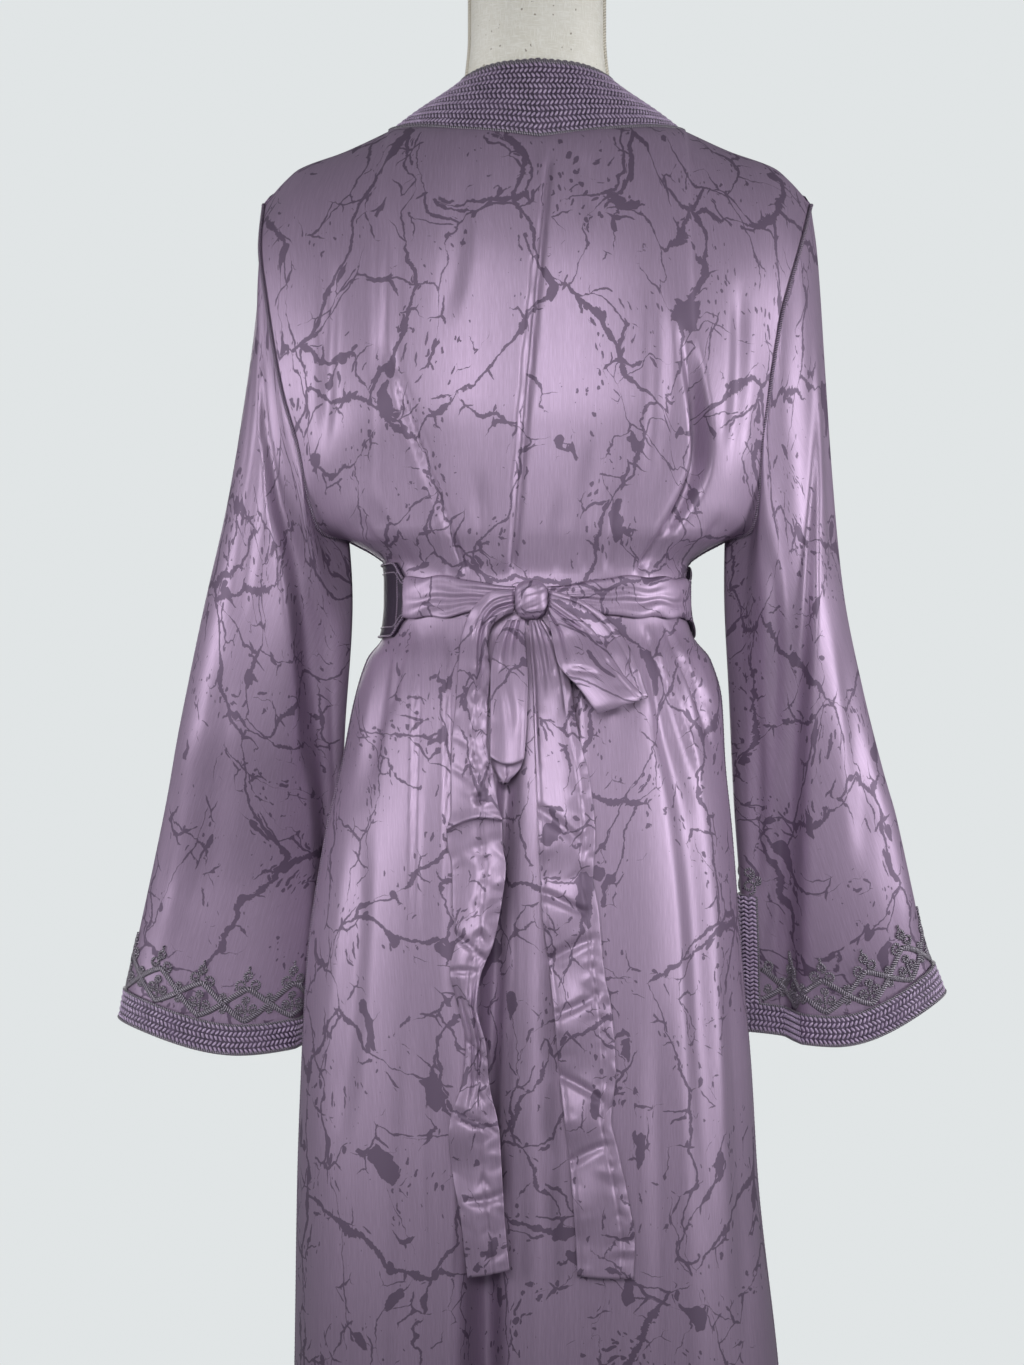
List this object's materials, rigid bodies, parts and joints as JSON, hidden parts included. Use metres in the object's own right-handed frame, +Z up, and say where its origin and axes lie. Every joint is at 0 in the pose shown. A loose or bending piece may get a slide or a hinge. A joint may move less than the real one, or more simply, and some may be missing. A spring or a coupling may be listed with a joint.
{
  "type": "moroccan kaftan on a dress form",
  "caption": "Long open-front robe with bell sleeves, braided neck and cuff bands and a belt tied in a bow behind, worn by a limbless dress form on a round foot",
  "frame": {"origin": "centre of the stand's round foot, on the floor, straight below the middle of the neck", "axes": "+Z up, the wearer faces -Y, the wearer's left hand at +X"},
  "size_m": [0.756, 0.352, 1.625],
  "materials": {
    "satin": "mauve satin with a darker crackle print, soft sheen",
    "braid": "flat braid of purple and grey cord",
    "belt_cloth": "dark purple stiffened cloth with piped edges",
    "form_cloth": "cream linen drawn over the form",
    "stand_metal": "satin grey lacquer"
  },
  "bodies": {
    "root": {"back_panel": "satin", "front_left": "satin", "front_right": "satin", "sleeve_left": "satin", "sleeve_right": "satin", "collar_band": "braid", "front_band_left": "braid", "front_band_right": "braid", "cuff_band_left": "braid", "cuff_band_right": "braid", "belt_panel": "belt_cloth", "tie_left": "satin", "tie_right": "satin", "knot": "satin", "loop_left": "satin", "loop_right": "satin", "tail_left": "satin", "tail_right": "satin", "form_torso": "form_cloth", "form_pole": "stand_metal", "form_foot": "stand_metal"}
  },
  "joints": []
}
